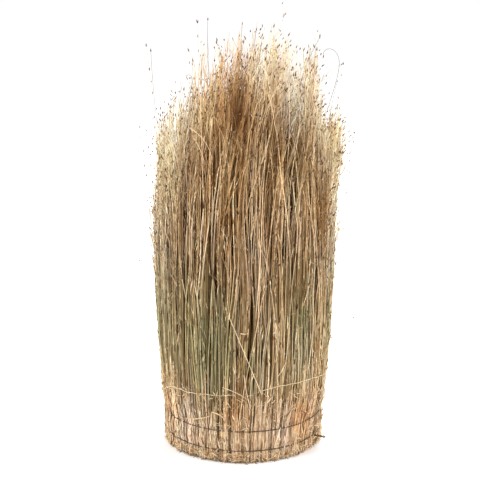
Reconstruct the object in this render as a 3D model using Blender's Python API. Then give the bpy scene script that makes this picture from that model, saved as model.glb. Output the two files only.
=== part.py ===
"""A bunch of dried thatching reed that stands on its cut ends, held by two binding wires.

The reeds are gathered in handfuls. Forty of them stand side by side round the outside, each a
pleat between its neighbours' grooves, and eight more and a middle one fill the inside. Every
handful is one closed solid: a fluted stem block that ends in a tuft of separate pointed tips.
Metres, +Z up. The origin is the middle of the cut ends, on the ground.
"""

import math
import random

import bmesh
import bpy
from mathutils import Vector

# Driving dimensions of the bunch
HANDFULS = 40
HANDFULS_PER_INNER = 5
RIDGES = 3
LOWER_WIRE_HEIGHT = 0.021
UPPER_WIRE_HEIGHT = 0.055
BODY_TOP = 0.43
INNER_BODY_TOP = 0.50
INNER_RING_SHARE = 0.80
CENTRE_SHARE = 0.36
INNER_START = 2  # the seam of the outer ring at which the first inner handful starts

# Outer radius of the bunch against height, with a waist under each wire
OUTER_RADIUS = (
    (0.000, 0.1345),
    (LOWER_WIRE_HEIGHT, 0.1295),
    (0.038, 0.1325),
    (UPPER_WIRE_HEIGHT, 0.1305),
    (0.090, 0.1370),
    (0.280, 0.1500),
    (BODY_TOP, 0.1530),
)
# The same for the inside, which the wires don't pinch
INNER_RADIUS = (
    (0.000, 0.1340),
    (0.090, 0.1370),
    (0.280, 0.1500),
    (BODY_TOP, 0.1530),
    (INNER_BODY_TOP, 0.1540),
)
LEAN = 0.016  # sideways drift of the bunch towards +X for each metre of height

# How high the tips reach, seen from the front
TOP_LINE = (
    (-0.165, 0.460),
    (-0.135, 0.525),
    (-0.080, 0.605),
    (-0.040, 0.660),
    (0.000, 0.690),
    (0.060, 0.695),
    (0.080, 0.635),
    (0.095, 0.670),
    (0.110, 0.660),
    (0.125, 0.600),
    (0.165, 0.510),
)
SHOULDER = 0.055  # how much lower the tips are at the front and the back
SHORT_TIP, LONG_TIP = 0.86, 1.00  # range of the tips' heights, as shares of the top line
MOST_SPREAD = 0.02  # how far the outer tips lean out, for each metre they rise

# Pleats and flutes
GAP = 0.0003  # clear space on each side of the seam between two handfuls
GROOVE = 0.0040
FLUTE = 0.0016
CROWN = 0.0008
WANDER = 0.0012
SEAM_DRIFT = 0.012  # radians by which a seam may lie off its even place

# Wires and strands
WIRE_RADIUS = 0.0009
WIRE_GAP = 0.0004
LOWER_TWIST_SEAM = 37  # the seam where the lower wire's ends are twisted together, right front
UPPER_TWIST_SEAM = 8  # the same for the upper wire, at the back
TWIST_RADIUS = 0.00125
TWIST_STEP = 0.0016
TWIST_POINTS = 13
TWIST_TURN = math.radians(60)
TWIST_MOUTH = 2.2 * TWIST_RADIUS  # from the seam to where each end turns outwards
# The way each tail points: how far along the bunch and up, for each metre outwards
LOWER_TAIL = (0.25, -0.10)
UPPER_TAIL = (0.35, 0.15)
STRAND_RADIUS = 0.0007
STRAND_LIFT = WANDER + 0.0007
STRAND_POINTS = 30
# The route of the pale strand round the bunch: degrees from +X, and height
STRAND_ROUTE = (
    (184, 0.076),
    (192, 0.086),
    (202, 0.103),
    (215, 0.114),
    (236, 0.115),
    (262, 0.120),
    (275, 0.122),
    (288, 0.132),
    (313, 0.133),
    (340, 0.125),
    (352, 0.120),
)
LOOSE_REED_RADIUS = 0.0010
CUT_END = 0.0015  # how far the end of a loose reed stays off the ground
SINK = GROOVE - 2.3 * LOOSE_REED_RADIUS  # how deep its middle line lies in the groove
LATE_BEND = 0.3  # how much of its way outwards comes late
# Where its free length has a point, and how thick it is at the last two, in its seed head
FREE_SHARES = (0.0, 0.25, 0.5, 0.75, 0.95, 0.975, 1.0)
HEAD_SHARES = [1.5, 0.25]
THINNEST = 0.5  # thickness of its stem below the seed head, as a share of that at the foot
# The reeds that stand clear: the seam each one stands in, where it leaves, and its tip
LOOSE_REEDS = (
    (21, 0.24, (-0.165, -0.035, 0.535)),
    (39, 0.24, (0.178, -0.030, 0.525)),
    (31, 0.24, (0.035, -0.172, 0.560)),
    (11, 0.24, (-0.020, 0.172, 0.570)),
    (18, 0.40, (-0.158, 0.045, 0.655)),
    (27, 0.40, (-0.068, -0.152, 0.715)),
    (2, 0.40, (0.163, 0.050, 0.625)),
    (35, 0.40, (0.112, -0.125, 0.670)),
)

rng = random.Random(4)


def along(knots, x):
    """The value at x of a line of straight stretches through the knots."""
    for (x0, y0), (x1, y1) in zip(knots, knots[1:]):
        if x <= x1:
            return y0 + (y1 - y0) * max(0.0, (x - x0) / (x1 - x0))
    return knots[-1][1]


def seam_angle(seams, index):
    """The angle of a seam, counted on past the full turn."""
    return seams[index % HANDFULS] + 2 * math.pi * (index // HANDFULS)


def place(angle, radius, height):
    """A point of the leaning bunch, from its angle and distance round the middle."""
    return Vector((radius * math.cos(angle) + LEAN * height, radius * math.sin(angle), height))


def tip_height(x, y):
    """How high the reeds reach over this point of the ground."""
    return along(TOP_LINE, x) - SHOULDER * (y / along(OUTER_RADIUS, BODY_TOP)) ** 2


def material(name, colour, roughness, metallic=0.0):
    made = bpy.data.materials.new(name)
    made.use_nodes = True
    shader = made.node_tree.nodes["Principled BSDF"]
    shader.inputs["Base Color"].default_value = (*colour, 1.0)
    shader.inputs["Roughness"].default_value = roughness
    shader.inputs["Metallic"].default_value = metallic
    return made


def show(name, data, finish):
    """Puts a mesh or a curve in the scene as a node of the bunch."""
    made = bpy.data.objects.new(name, data)
    data.materials.append(finish)
    bpy.context.scene.collection.objects.link(made)
    return made


def fan_feet(mesh, ring, groups):
    """The feet of slender tips: each group of ring points, with the middle point."""
    middle = mesh.verts.new(sum((v.co for v in ring), Vector()) / len(ring))
    return [[middle] + [ring[i % len(ring)] for i in group] for group in groups]


def double_feet(mesh, ring):
    """The feet of tips in two rings round the middle of a thick handful."""
    centre = sum((v.co for v in ring), Vector()) / len(ring)
    middle = mesh.verts.new(centre)
    halfway = [mesh.verts.new(v.co.lerp(centre, 0.5)) for v in ring]
    feet = []
    for i in range(len(ring)):
        j = (i + 1) % len(ring)
        feet.append([ring[i], ring[j], halfway[j], halfway[i]])
        feet.append([middle, halfway[i], halfway[j]])
    return feet


def tips(mesh, feet, lean):
    """A pointed tip on each foot. The tips of a handful lean alike, so that they never cross."""
    for foot in feet:
        base = sum((v.co for v in foot), Vector()) / len(foot)
        reach = tip_height(base.x, base.y) * rng.uniform(SHORT_TIP, LONG_TIP)
        rise = reach - base.z
        apex = mesh.verts.new((base.x + lean.x * rise, base.y + lean.y * rise, reach))
        for a, b in zip(foot, foot[1:] + foot[:1]):
            mesh.faces.new((a, b, apex))


def handful(name, sections, groups, lean, finish):
    """A closed block through the sections, flat at its foot and with a tuft of tips on top."""
    mesh = bmesh.new()
    rings = [[mesh.verts.new(point) for point in section] for section in sections]
    mesh.faces.new(reversed(rings[0]))
    for low, high in zip(rings, rings[1:]):
        for i in range(len(low)):
            j = (i + 1) % len(low)
            mesh.faces.new((low[i], low[j], high[j], high[i]))
    feet = fan_feet(mesh, rings[-1], groups) if groups else double_feet(mesh, rings[-1])
    tips(mesh, feet, lean)
    data = bpy.data.meshes.new(name)
    mesh.to_mesh(data)
    mesh.free()
    return show(name, data, finish)


def outer_section(left, right, height, wander):
    """The outline of an outer handful at one height, anticlockwise from its left groove."""
    radius = along(OUTER_RADIUS, height)
    inner = along(INNER_RADIUS, height) * INNER_RING_SHARE
    points = []
    for k in range(2 * RIDGES + 1):
        share = k / (2 * RIDGES)
        angle = left + (right - left) * share
        bulge = radius - CROWN * abs(2 * share - 1)
        if k in (0, 2 * RIDGES):
            angle += (GAP if k == 0 else -GAP) / radius
            bulge = radius - GROOVE
        elif k % 2 == 0:
            bulge -= FLUTE
        points.append(place(angle, bulge + wander[k] * (height > UPPER_WIRE_HEIGHT), height))
    points.append(place(right - GAP / inner, inner, height))
    points.append(place(left + GAP / inner, inner, height))
    return points


def inner_section(angles, share, centre_share, height):
    """The outline of an inner handful, whose outside follows the chords of the outer ones."""
    radius = along(INNER_RADIUS, height)
    outside, inside = radius * share - 2 * GAP, radius * centre_share
    shifts = [GAP] + [0.0] * (len(angles) - 2) + [-GAP]
    points = [place(a + s / outside, outside, height) for a, s in zip(angles, shifts)]
    points.append(place(angles[-1] - GAP / inside, inside, height))
    points.append(place(angles[0] + GAP / inside, inside, height))
    return points


def finish_at(angle, finishes):
    """Straw, green straw or ochre, in broad patches round the bunch."""
    wave = math.sin(3 * angle + 1.1) + 0.6 * math.sin(7 * angle) + rng.uniform(-0.5, 0.5)
    return finishes[0] if wave > 0.5 else finishes[1] if wave < -0.5 else finishes[2]


def make_handfuls(seams, finishes):
    """The outer ring of handfuls, the inner ring behind it and the middle one."""
    heights = [h for h, _ in OUTER_RADIUS]
    groups = [(2 * k, 2 * k + 1, 2 * k + 2) for k in range(RIDGES)]
    last = 2 * RIDGES
    groups += [(last, last + 1), (last + 1, last + 2), (last + 2, last + 3)]
    for i in range(HANDFULS):
        left, right = seams[i], seams[i + 1]
        wander = [rng.uniform(-WANDER, WANDER) * (k % 2) for k in range(last + 1)]
        sections = [outer_section(left, right, h, wander) for h in heights]
        middle = (left + right) / 2
        spread = rng.uniform(0.0, MOST_SPREAD)
        lean = Vector((math.cos(middle), math.sin(middle))) * spread
        handful(f"outer_reeds_{i + 1:02d}", sections, groups, lean, finish_at(middle, finishes))

    heights = [h for h, _ in INNER_RADIUS]
    upright = Vector((0, 0))
    for j in range(HANDFULS // HANDFULS_PER_INNER):
        first = INNER_START + j * HANDFULS_PER_INNER
        angles = [seam_angle(seams, first + k) for k in range(HANDFULS_PER_INNER + 1)]
        sections = [inner_section(angles, INNER_RING_SHARE, CENTRE_SHARE, h) for h in heights]
        middle = (angles[0] + angles[-1]) / 2
        handful(f"inner_reeds_{j + 1}", sections, None, upright, finish_at(middle, finishes))

    corners = seams[INNER_START:HANDFULS:HANDFULS_PER_INNER]
    sections = [
        [place(a, along(INNER_RADIUS, h) * CENTRE_SHARE - 2 * GAP, h) for a in corners]
        for h in heights
    ]
    handful("middle_reeds", sections, None, upright, finishes[0])


def strand(name, points, radii, finish):
    """A round wire, stem or strand through the points."""
    data = bpy.data.curves.new(name, "CURVE")
    data.dimensions = "3D"
    data.bevel_depth = 1.0
    data.bevel_resolution = 1
    data.use_fill_caps = True
    line = data.splines.new("POLY")
    line.points.add(len(points) - 1)
    for spot, point, radius in zip(line.points, points, radii):
        spot.co = (*point, 1.0)
        spot.radius = radius
    return show(name, data, finish)


def twist(root, out, across, side):
    """One of the two strands of a wire's twisted tail, from its root outwards."""
    up = out.cross(across)
    points = []
    for k in range(TWIST_POINTS):
        turn = k * TWIST_TURN
        offset = across * math.cos(turn) + up * math.sin(turn)
        points.append(root + out * (TWIST_STEP * k) + offset * (side * TWIST_RADIUS))
    return points


def wire(name, height, seams, start, tail, finish):
    """A binding wire drawn straight from crown to crown of the handfuls, with a twisted tail."""
    radius = along(OUTER_RADIUS, height) + WIRE_GAP + WIRE_RADIUS
    ring = []
    for i in range(start, start + HANDFULS):
        middle = (seam_angle(seams, i) + seam_angle(seams, i + 1)) / 2
        ring.append(place(middle, radius, height))
    seam = seams[start]
    mouth = TWIST_MOUTH / radius
    first = place(seam + mouth, radius, height)
    last = place(seam - mouth, radius, height)
    root = place(seam, radius + 2 * WIRE_RADIUS, height)
    outward = Vector((math.cos(seam), math.sin(seam), 0))
    across = Vector((-outward.y, outward.x, 0))
    out = (outward + across * tail[0] + Vector((0, 0, tail[1]))).normalized()
    across = (across - out * across.dot(out)).normalized()
    left_strand = twist(root, out, across, 1)
    right_strand = twist(root, out, across, -1)
    points = left_strand[::-1] + [first] + ring + [last] + right_strand
    strand(name, points, [WIRE_RADIUS] * len(points), finish)


def pale_strand(finish):
    """A fine strand of dry grass that lies across the front, its ends tucked in at the sides."""
    turn = STRAND_ROUTE[-1][0] - STRAND_ROUTE[0][0]
    points, radii = [], []
    for k in range(STRAND_POINTS):
        share = k / (STRAND_POINTS - 1)
        angle = STRAND_ROUTE[0][0] + turn * share
        height = along(STRAND_ROUTE, angle)
        radius = along(OUTER_RADIUS, height) + STRAND_LIFT + STRAND_RADIUS
        points.append(place(math.radians(angle), radius, height))
        radii.append(STRAND_RADIUS * (0.4 + 0.6 * min(1.0, 12 * share, 12 * (1 - share))))
    strand("pale_grass_strand", points, radii, finish)


def loose_reed(name, seam, leave, tip, finish):
    """A reed that stands in a groove under the wires, bends away and ends in a seed head."""
    heights = [h for h, _ in OUTER_RADIUS if h < leave]
    points = [place(seam, along(OUTER_RADIUS, h) - SINK, max(h, CUT_END)) for h in heights]
    start = place(seam, along(OUTER_RADIUS, leave) - SINK, leave)
    end = Vector(tip)
    for share in FREE_SHARES:
        bend = (end - start).xy * (LATE_BEND * (share**2 - share))
        points.append(start.lerp(end, share) + Vector((bend.x, bend.y, 0)))
    stem = len(points) - len(HEAD_SHARES)
    slim = [1.0 - (1.0 - THINNEST) * i / (stem - 1) for i in range(stem)]
    radii = [LOOSE_REED_RADIUS * share for share in slim + HEAD_SHARES]
    strand(name, points, radii, finish)


def main():
    for old in list(bpy.data.objects):
        bpy.data.objects.remove(old, do_unlink=True)

    straw = material("reed_straw", (0.62, 0.46, 0.25), 0.62)
    green = material("reed_green", (0.38, 0.36, 0.20), 0.62)
    ochre = material("reed_ochre", (0.55, 0.34, 0.16), 0.66)
    steel = material("binding_wire", (0.10, 0.08, 0.06), 0.45, 0.8)
    grass = material("dry_grass", (0.78, 0.70, 0.50), 0.7)

    step = 2 * math.pi / HANDFULS
    seams = [i * step + rng.uniform(-SEAM_DRIFT, SEAM_DRIFT) for i in range(HANDFULS)]
    seams.append(seams[0] + 2 * math.pi)

    make_handfuls(seams, (straw, green, ochre))
    wire("lower_wire", LOWER_WIRE_HEIGHT, seams, LOWER_TWIST_SEAM, LOWER_TAIL, steel)
    wire("upper_wire", UPPER_WIRE_HEIGHT, seams, UPPER_TWIST_SEAM, UPPER_TAIL, steel)
    pale_strand(grass)

    for i, (seam, leave, tip) in enumerate(LOOSE_REEDS):
        loose_reed(f"loose_reed_{i + 1}", seams[seam], leave, tip, straw if i % 3 else ochre)


main()
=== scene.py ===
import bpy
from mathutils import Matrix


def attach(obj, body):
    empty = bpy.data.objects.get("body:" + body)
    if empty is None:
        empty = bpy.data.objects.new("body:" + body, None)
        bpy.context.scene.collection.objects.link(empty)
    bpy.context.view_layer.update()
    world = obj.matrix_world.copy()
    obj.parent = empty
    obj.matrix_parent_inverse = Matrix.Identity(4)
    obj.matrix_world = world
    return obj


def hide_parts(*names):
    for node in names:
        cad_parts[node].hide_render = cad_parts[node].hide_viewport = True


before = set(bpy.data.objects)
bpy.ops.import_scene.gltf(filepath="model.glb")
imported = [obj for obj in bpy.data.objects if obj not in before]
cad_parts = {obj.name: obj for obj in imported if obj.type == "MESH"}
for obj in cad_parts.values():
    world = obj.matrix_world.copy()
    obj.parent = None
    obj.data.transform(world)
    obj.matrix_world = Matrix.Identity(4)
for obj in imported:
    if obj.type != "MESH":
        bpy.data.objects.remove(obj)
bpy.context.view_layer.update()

import copy
import math
import random

import bpy
import numpy as np
from mathutils import Vector

rng = np.random.default_rng(42)

# The handfuls and wires, as in the part
HANDFULS = 40
HANDFULS_PER_PIECE = 5
INNER_HANDFULS = 8
SEAM_SEED, SEAM_DRIFT = 4, 0.012
LOWER_WIRE_HEIGHT = 0.021
UPPER_WIRE_HEIGHT = 0.055
OUTER_RADIUS = (
    (0.000, 0.1305),
    (0.012, 0.1310),
    (LOWER_WIRE_HEIGHT, 0.1295),
    (0.029, 0.1318),
    (0.038, 0.1325),
    (0.047, 0.1320),
    (UPPER_WIRE_HEIGHT, 0.1305),
    (0.070, 0.1340),
    (0.090, 0.1370),
    (0.180, 0.1440),
    (0.280, 0.1478),
    (0.430, 0.1475),
    (0.550, 0.1465),
    (0.700, 0.1450),
)
# How far the reeds lean to the right for each metre up, a little less than the solids
LEAN = 0.011
TOP_LINE = (
    (-0.165, 0.480),
    (-0.135, 0.528),
    (-0.108, 0.580),
    (-0.085, 0.622),
    (-0.060, 0.662),
    (-0.036, 0.670),
    (-0.018, 0.690),
    (0.000, 0.697),
    (0.052, 0.692),
    (0.070, 0.672),
    (0.076, 0.614),
    (0.086, 0.606),
    (0.096, 0.672),
    (0.112, 0.668),
    (0.119, 0.578),
    (0.128, 0.555),
    (0.145, 0.566),
    (0.162, 0.530),
)
SHOULDER = 0.055
# Shallow dents of the outline: angle in degrees and its spread, height and its spread, depth
DENTS = (
    (352, 20, 0.290, 0.055, 0.004),
    (184, 12, 0.440, 0.024, 0.010),
    (356, 12, 0.425, 0.032, 0.009),
)
TALLEST = 1.010
HIGHEST = 0.722

# How much of its pleat's width a handful fills, and how deep its grooves are, against height
FILL = (
    (0.000, 1.02),
    (LOWER_WIRE_HEIGHT, 0.90),
    (0.038, 0.97),
    (UPPER_WIRE_HEIGHT, 0.90),
    (0.075, 0.96),
    (0.120, 1.02),
    (0.700, 1.05),
)
GROOVE = (
    (0.000, 0.0030),
    (LOWER_WIRE_HEIGHT, 0.0042),
    (UPPER_WIRE_HEIGHT, 0.0042),
    (0.090, 0.0030),
    (0.160, 0.0012),
    (0.700, 0.0008),
)

# The reeds
REEDS_PER_HANDFUL = 38
CLUMPS_PER_HANDFUL = 3
THICKNESS = ((0.0, 1.50), (0.06, 1.20), (0.16, 1.05), (0.55, 0.92), (0.85, 0.62), (1.0, 0.28))
TIP_LENGTH = 0.14
TIP_LEAN = 0.008
SEED_LEAN = 0.22
FOOT_KNOTS = (0.0, 0.012, LOWER_WIRE_HEIGHT, 0.030, 0.038, 0.047, UPPER_WIRE_HEIGHT, 0.068, 0.09, 0.13)
INNER_KNOTS = (0.0, 0.03, 0.10, 0.22)

# Colours, linear
PALE = (0.94, 0.84, 0.69)
CREAM = (0.83, 0.69, 0.46)
STRAW = (0.63, 0.455, 0.235)
TAN = (0.45, 0.275, 0.120)
RUST = (0.25, 0.10, 0.024)
# The next colour is painted shade: the dark of the deep gaps between the reeds, laid on in some zones and
# slabs and on sunk twigs.
SHADE_BROWN = (0.12, 0.040, 0.005)
GREEN = (0.215, 0.235, 0.105)
COPPER = (0.68, 0.37, 0.155)
PINKISH = (0.84, 0.57, 0.36)
CHESTNUT = (0.062, 0.040, 0.028)
UMBER = (0.21, 0.105, 0.028)
# The next two colours are painted shade: the dark of reeds deep in the bunch, lower down and higher up.
DEEP_SHADE_LOW = (0.23, 0.125, 0.033)
DEEP_SHADE_HIGH = (0.165, 0.068, 0.011)
RUSSET = (0.44, 0.17, 0.045)
WISP = (0.93, 0.82, 0.73)
# The next colour is painted shadow at the front of the foot, and the dark grey of the hairs that stand clear.
SHADOW_AND_HAIR_GREY = (0.10, 0.082, 0.065)
ASH = (0.66, 0.61, 0.55)
BRIGHTEST = 0.94
# What the lower and the upper half are multiplied by
LOWER_TINT = (0.98, 1.00, 1.08)
UPPER_TINT = (1.05, 0.98, 0.85)

# Coloured zones of the skin: angle and its spread, height and its spread, colour, share. Some of them are
# painted light and shade, as marked below.
ZONES = (
    (189, 12, 0.24, 0.090, GREEN, 0.92),
    (217, 9, 0.24, 0.075, GREEN, 0.75),
    (232, 6, 0.26, 0.080, GREEN, 0.45),
    (243, 8, 0.21, 0.095, GREEN, 0.95),
    (256, 7, 0.21, 0.080, GREEN, 0.75),
    (276, 5, 0.175, 0.040, GREEN, 0.75),
    (303, 8, 0.32, 0.070, GREEN, 0.45),
    (310, 6, 0.24, 0.080, GREEN, 0.80),
    (350, 12, 0.22, 0.080, GREEN, 0.65),
    (20, 16, 0.21, 0.090, GREEN, 0.60),
    (92, 28, 0.22, 0.090, GREEN, 0.65),
    (150, 18, 0.20, 0.090, GREEN, 0.55),
    (295, 4, 0.553, 0.030, UMBER, 0.85),
    # Painted shade in a narrow slit between reeds.
    (231, 4, 0.415, 0.035, SHADE_BROWN, 0.50),
    (219, 4, 0.320, 0.080, UMBER, 0.60),
    (301, 9, 0.445, 0.052, CREAM, 0.90),
    (276, 4, 0.395, 0.035, CREAM, 0.60),
    (276, 4, 0.500, 0.030, CREAM, 0.60),
    (299, 6, 0.425, 0.035, PALE, 0.50),
    # Painted light at the left side, where light wraps round the bunch.
    (187, 9, 0.435, 0.035, PALE, 0.75),
    (275, 4, 0.500, 0.025, PALE, 0.80),
    (306, 5, 0.570, 0.022, CREAM, 0.50),
    # The next two rows are painted light at the right side, where light wraps round the bunch.
    (350, 12, 0.430, 0.090, CREAM, 0.85),
    (346, 9, 0.465, 0.050, PALE, 0.80),
    (213, 5, 0.490, 0.040, CREAM, 0.60),
    (328, 4, 0.415, 0.025, RUST, 0.40),
    # The next two rows are painted shade in narrow slits between reeds.
    (243, 3, 0.500, 0.030, SHADE_BROWN, 0.85),
    (267, 2, 0.490, 0.030, SHADE_BROWN, 0.80),
    (227, 3, 0.490, 0.030, RUST, 0.80),
    (250, 20, 0.54, 0.070, TAN, 0.60),
    (300, 30, 0.47, 0.060, TAN, 0.60),
    (273, 26, 0.36, 0.060, TAN, 0.70),
    (233, 5, 0.50, 0.025, RUST, 0.50),
    (60, 22, 0.52, 0.090, TAN, 0.65),
    (130, 24, 0.50, 0.080, TAN, 0.65),
    (237, 3, 0.300, 0.040, RUST, 0.60),
    (226, 3, 0.380, 0.050, RUST, 0.55),
    (306, 4, 0.360, 0.060, RUST, 0.50),
    (283, 5, 0.420, 0.050, RUST, 0.45),
    (318, 8, 0.400, 0.080, TAN, 0.50),
    (328, 4, 0.415, 0.045, RUST, 0.60),
    (253, 5, 0.360, 0.050, TAN, 0.60),
    # Painted light at the left side, where light wraps round the bunch.
    (184, 10, 0.480, 0.060, PALE, 0.55),
    (204, 16, 0.440, 0.110, CREAM, 0.70),
    # Painted light at the right side, where light wraps round the bunch.
    (344, 9, 0.470, 0.100, CREAM, 0.50),
    (316, 6, 0.400, 0.050, TAN, 0.50),
    (215, 4, 0.050, 0.014, COPPER, 0.50),
    (225, 10, 0.045, 0.025, PALE, 0.50),
    (302, 6, 0.048, 0.022, PALE, 0.75),
    (229, 5, 0.100, 0.016, PALE, 0.35),
    (202, 8, 0.075, 0.016, COPPER, 0.55),
    (314, 12, 0.052, 0.034, COPPER, 0.80),
    (262, 6, 0.092, 0.020, COPPER, 0.70),
    (263, 4, 0.090, 0.013, RUSSET, 0.60),
    (242, 4, 0.090, 0.018, UMBER, 0.50),
    (267, 3, 0.130, 0.030, UMBER, 0.40),
    (277, 3, 0.200, 0.035, UMBER, 0.35),
    (256, 4, 0.395, 0.035, UMBER, 0.35),
    # The next zone is painted shadow under the front of the cut ends.
    (248, 16, 0.000, 0.004, SHADOW_AND_HAIR_GREY, 0.60),
    (327, 5, 0.415, 0.045, UMBER, 0.80),
    (245, 4, 0.460, 0.045, UMBER, 0.50),
    (322, 4, 0.068, 0.013, RUSSET, 0.60),
    (309, 3, 0.530, 0.025, UMBER, 0.70),
    (326, 6, 0.550, 0.050, PALE, 0.60),
    (288, 4, 0.535, 0.030, UMBER, 0.40),
    (267, 3, 0.300, 0.120, UMBER, 0.48),
    (267, 3, 0.440, 0.030, UMBER, 0.40),
    (297, 4, 0.330, 0.040, UMBER, 0.35),
    (278, 3, 0.270, 0.060, UMBER, 0.30),
    (298, 7, 0.445, 0.022, CREAM, 0.55),
    (219, 5, 0.385, 0.030, UMBER, 0.40),
    (276, 4, 0.378, 0.020, CREAM, 0.60),
    (265, 4, 0.360, 0.028, TAN, 0.45),
    (244, 4, 0.510, 0.022, TAN, 0.50),
    (256, 4, 0.505, 0.025, CREAM, 0.50),
    (298, 4, 0.245, 0.030, UMBER, 0.35),
    (311, 4, 0.178, 0.020, CREAM, 0.35),
    (311, 4, 0.074, 0.012, RUSSET, 0.45),
    (231, 6, 0.040, 0.014, COPPER, 0.30),
    (275, 5, 0.040, 0.014, TAN, 0.30),
    (70, 14, 0.050, 0.030, TAN, 0.45),
    (150, 10, 0.060, 0.030, TAN, 0.45),
)

# Coloured slabs of the tops, right through the bunch: x and its spread, height and its spread,
# colour, share
SLABS = (
    # Painted shade in the hollow at the middle of the tops.
    (-0.003, 0.012, 0.580, 0.036, SHADE_BROWN, 0.90),
    (0.018, 0.010, 0.592, 0.022, UMBER, 0.50),
    (0.103, 0.006, 0.600, 0.030, GREEN, 0.38),
    (0.070, 0.004, 0.668, 0.015, RUSSET, 0.60),
    (-0.060, 0.014, 0.578, 0.022, CREAM, 0.80),
    (-0.035, 0.008, 0.585, 0.018, RUSSET, 0.30),
    (-0.050, 0.030, 0.595, 0.045, COPPER, 0.35),
    (0.026, 0.018, 0.655, 0.030, WISP, 0.50),
    (0.066, 0.008, 0.640, 0.022, TAN, 0.60),
    (0.078, 0.013, 0.630, 0.030, WISP, 0.80),
    (0.074, 0.012, 0.583, 0.025, WISP, 0.75),
    (0.096, 0.010, 0.595, 0.026, WISP, 0.40),
    (0.018, 0.010, 0.542, 0.018, COPPER, 0.50),
    (0.126, 0.011, 0.585, 0.045, PALE, 0.60),
    (0.124, 0.010, 0.580, 0.022, WISP, 0.60),
    (-0.006, 0.010, 0.640, 0.018, TAN, 0.40),
    (-0.060, 0.010, 0.615, 0.014, TAN, 0.40),
    (-0.110, 0.030, 0.530, 0.045, PALE, 0.65),
)

# The pale strand, as angle in degrees and height, and its frayed ends
STRAND_ROUTE = (
    (184, 0.076), (192, 0.086), (202, 0.103), (215, 0.114), (236, 0.115), (262, 0.120),
    (275, 0.122), (288, 0.132), (313, 0.133), (340, 0.125), (352, 0.120),
)
STRAND_LIFT = (
    (184, 0.0014), (238, 0.0012), (256, -0.0010), (268, -0.0028), (280, -0.0022), (285, 0.0014),
    (352, 0.0014),
)
STRAND_FRAYS = (186, 191, 200, 213, 214, 216, 252, 256, 284, 286, 345, 351)

# The reeds that stand clear: the seam each stands in, the height where it leaves, and its tip
LOOSE_REEDS = (
    (21, 0.24, (-0.165, -0.035, 0.535)),
    (39, 0.24, (0.178, -0.030, 0.525)),
    (31, 0.24, (0.035, -0.172, 0.560)),
    (11, 0.24, (-0.020, 0.172, 0.570)),
    (18, 0.40, (-0.158, 0.045, 0.655)),
    (27, 0.40, (-0.068, -0.152, 0.715)),
    (2, 0.40, (0.163, 0.050, 0.625)),
    (35, 0.40, (0.112, -0.125, 0.670)),
)
LOOSE_SINK = 0.0017
LATE_BEND = 0.3

# Strays on the front of the skin. Each starts at x and z, leads off at an angle from upright and
# turns evenly (both in degrees); then its length, radius and paleness.
SKIN_STRAYS = (
    (0.030, 0.121, -20, -3, 0.160, 0.0006, 0.9),
    (-0.083, 0.551, 112, 66, 0.062, 0.0006, 0.9),
    (-0.076, 0.536, 142, 34, 0.044, 0.0005, 0.9),
    (-0.050, 0.087, 78, 90, 0.027, 0.0011, 0.7),
    (-0.080, 0.068, 60, 12, 0.030, 0.0010, 0.6),
    (0.012, 0.098, -14, 8, 0.060, 0.0007, 0.8),
    (-0.004, 0.227, 84, 12, 0.012, 0.0008, 0.8),
    (-0.033, 0.133, 98, 38, 0.045, 0.0006, 0.9),
)

# Hairs that stand clear of the bunch: x, y and z of the start, the angle and the turn as above,
# how late the turn comes, the length and the radius
CLEAR_HAIRS = (
    (-0.0924, 0.030, 0.560, 15, -335, 7, 0.065, 0.00040),
    (-0.064, -0.050, 0.570, -4, 165, 1, 0.072, 0.00028),
    (-0.052, 0.000, 0.580, -6, 8, 1, 0.122, 0.00028),
    (0.1355, 0.000, 0.556, 16, -220, 5.4, 0.127, 0.00034),
    (0.084, 0.000, 0.550, 4, 26, 1, 0.130, 0.00028),
    (0.126, -0.030, 0.160, 42, 6, 1, 0.078, 0.00028),
    (-0.140, 0.000, 0.540, -6, 4, 1, 0.112, 0.00028),
    (-0.146, 0.000, 0.400, -3, -4, 1, 0.095, 0.00028),
    (-0.004, 0.000, 0.640, 0, 5, 1, 0.055, 0.00028),
    (0.016, 0.000, 0.630, 2, 6, 1, 0.056, 0.00028),
    (-0.112, 0.000, 0.510, -4, -8, 1, 0.056, 0.00028),
    (-0.082, 0.000, 0.545, 2, -4, 1, 0.046, 0.00028),
    (0.138, 0.000, 0.530, 6, 8, 1, 0.074, 0.00028),
    (0.152, 0.000, 0.400, 16, 12, 1, 0.062, 0.00028),
    (-0.146, 0.000, 0.250, -30, 10, 1, 0.060, 0.00028),
    (-0.140, 0.000, 0.230, -42, 20, 1, 0.058, 0.00028),
)

# The photograph's camera
CAMERA_DISTANCE = 2.4
CAMERA_HEIGHT = 0.97
CAMERA_LENS = 112.5
CAMERA_PITCH = math.radians(14.675)
CAMERA_TURN = math.radians(0.1226)


def knots(line, x):
    """Straight stretches through the knots, read at x."""
    xs, ys = zip(*line)
    return np.interp(x, xs, ys)


def smooth(low, high, x):
    """0 below low, 1 above high, and an even rise between them."""
    t = np.clip((x - low) / (high - low), 0.0, 1.0)
    return t * t * (3 - 2 * t)


def bump(x, middle, width):
    """1 at the middle, falling off softly over the width."""
    return np.exp(-0.5 * ((x - middle) / width) ** 2)


def blend(a, b, share):
    """Colour a turned towards colour b, where share has one number for each point."""
    return a + (np.asarray(b) - a) * np.asarray(share)[..., None]


def unit(v):
    return v / np.linalg.norm(v, axis=-1, keepdims=True)


def column(v):
    return v[:, None]


def seam_angles():
    """The seams between the handfuls, drawn in the same order as in the part."""
    draws = random.Random(SEAM_SEED)
    step = 2 * math.pi / HANDFULS
    seams = [i * step + draws.uniform(-SEAM_DRIFT, SEAM_DRIFT) for i in range(HANDFULS)]
    return np.array(seams + [seams[0] + 2 * math.pi])


SEAMS = seam_angles()


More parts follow.
